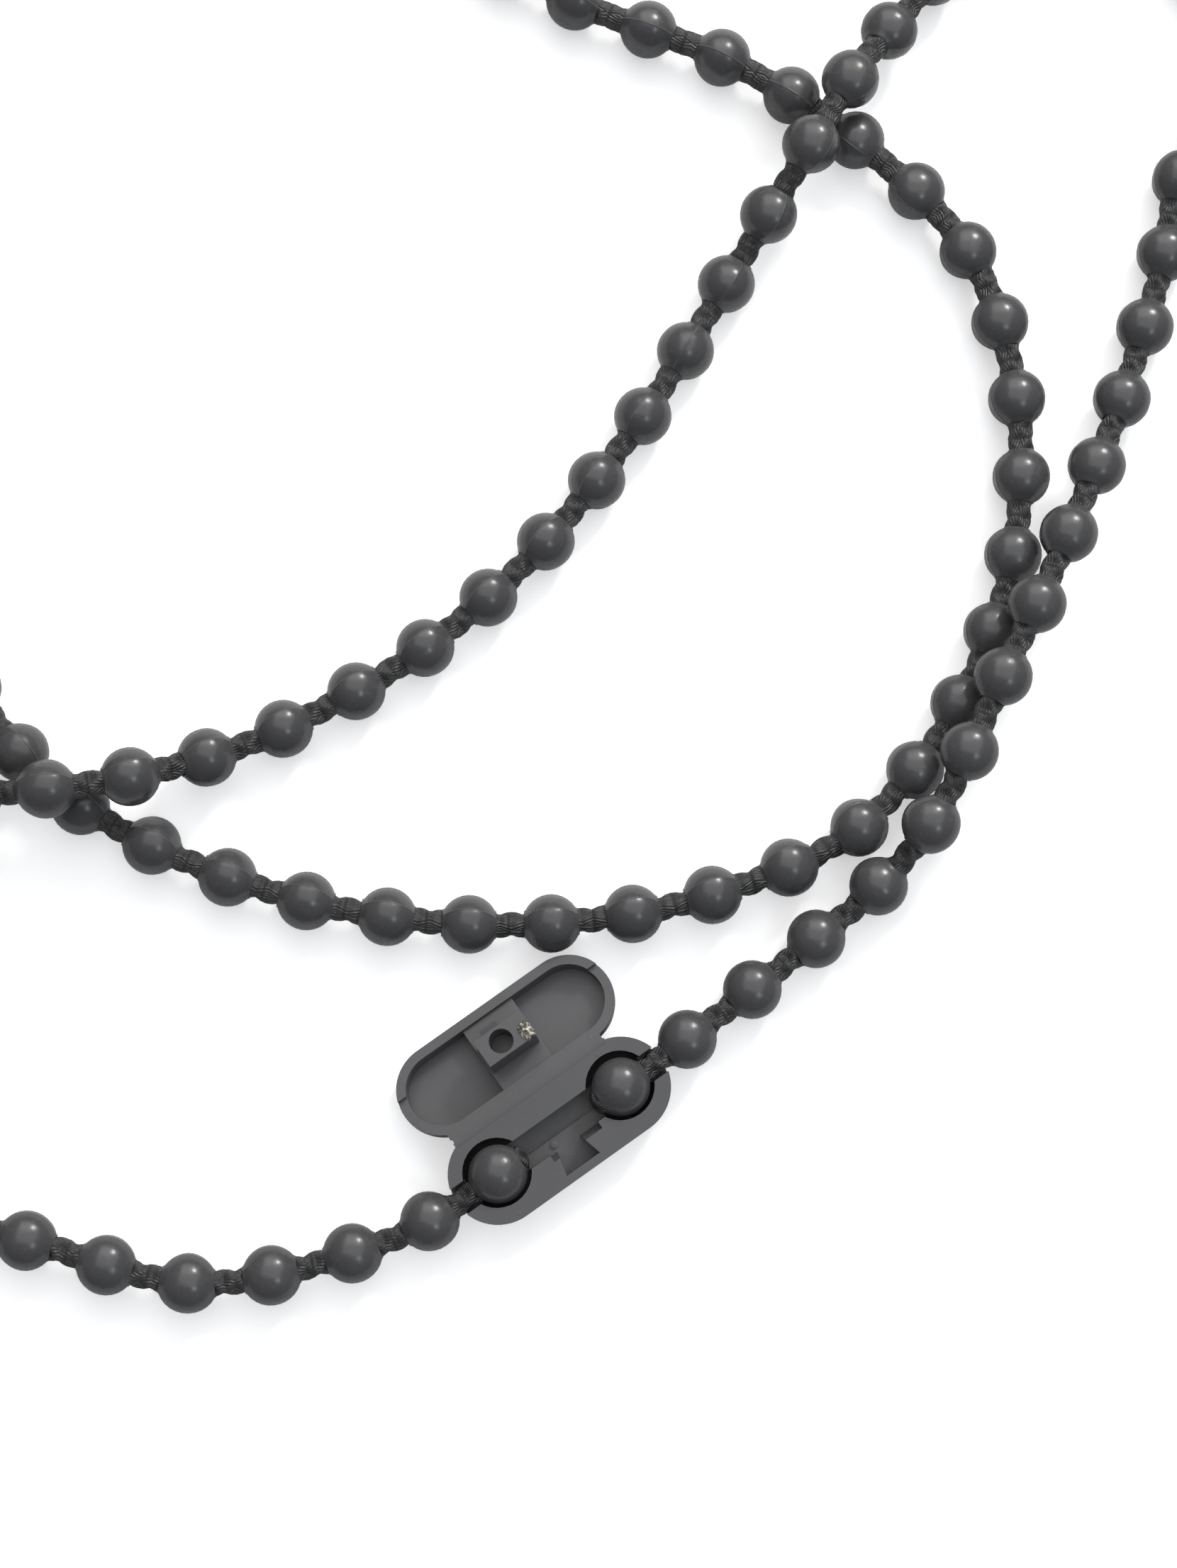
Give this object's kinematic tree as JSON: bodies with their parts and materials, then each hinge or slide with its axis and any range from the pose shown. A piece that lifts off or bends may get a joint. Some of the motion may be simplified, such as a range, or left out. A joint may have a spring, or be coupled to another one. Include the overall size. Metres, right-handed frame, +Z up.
{
  "type": "roller blind chain",
  "caption": "Endless bead chain that works a roller blind, closed by a snap connector whose hinged lid lies open; its slack is wound in a tied coil.",
  "frame": {"origin": "underside of the connector base, midway between its two ball pockets", "axes": "+Z up from the surface that the chain lies on; the connector's long axis is turned 35 degrees from +X towards +Y, and its lid opens towards +Y"},
  "size_m": [0.1538, 0.1122, 0.009],
  "materials": {
    "connector_plastic": "satin moulded",
    "chain_plastic": "satin moulded beads on a dark braided cord",
    "tie_plastic": "plastic-coated wire"
  },
  "bodies": {
    "base_and_chain": {"connector_base": "connector_plastic", "chain_end_right": "chain_plastic", "chain_over_strand_lower": "chain_plastic", "chain_over_strand_upper": "chain_plastic", "chain_return_right": "chain_plastic", "chain_middle_upper": "chain_plastic", "chain_middle_lower": "chain_plastic", "chain_return_left": "chain_plastic", "chain_outer_bottom": "chain_plastic", "chain_outer_right": "chain_plastic", "chain_outer_top": "chain_plastic", "chain_coil_lead_in": "chain_plastic", "chain_coil_outer_turn": "chain_plastic", "chain_coil_inner_turn": "chain_plastic", "chain_coil_lead_out": "chain_plastic", "chain_left_far": "chain_plastic", "chain_left_near": "chain_plastic", "chain_end_left": "chain_plastic", "coil_tie": "tie_plastic"},
    "lid": {"connector_lid": "connector_plastic"}
  },
  "joints": [
    {"name": "lid_hinge", "type": "hinge", "parent": "base_and_chain", "child": "lid", "pos_m": [-0.00212, 0.00303, 0.0038], "axis": [0.8192, 0.5736, 0], "range_deg": [0, 191]}
  ]
}
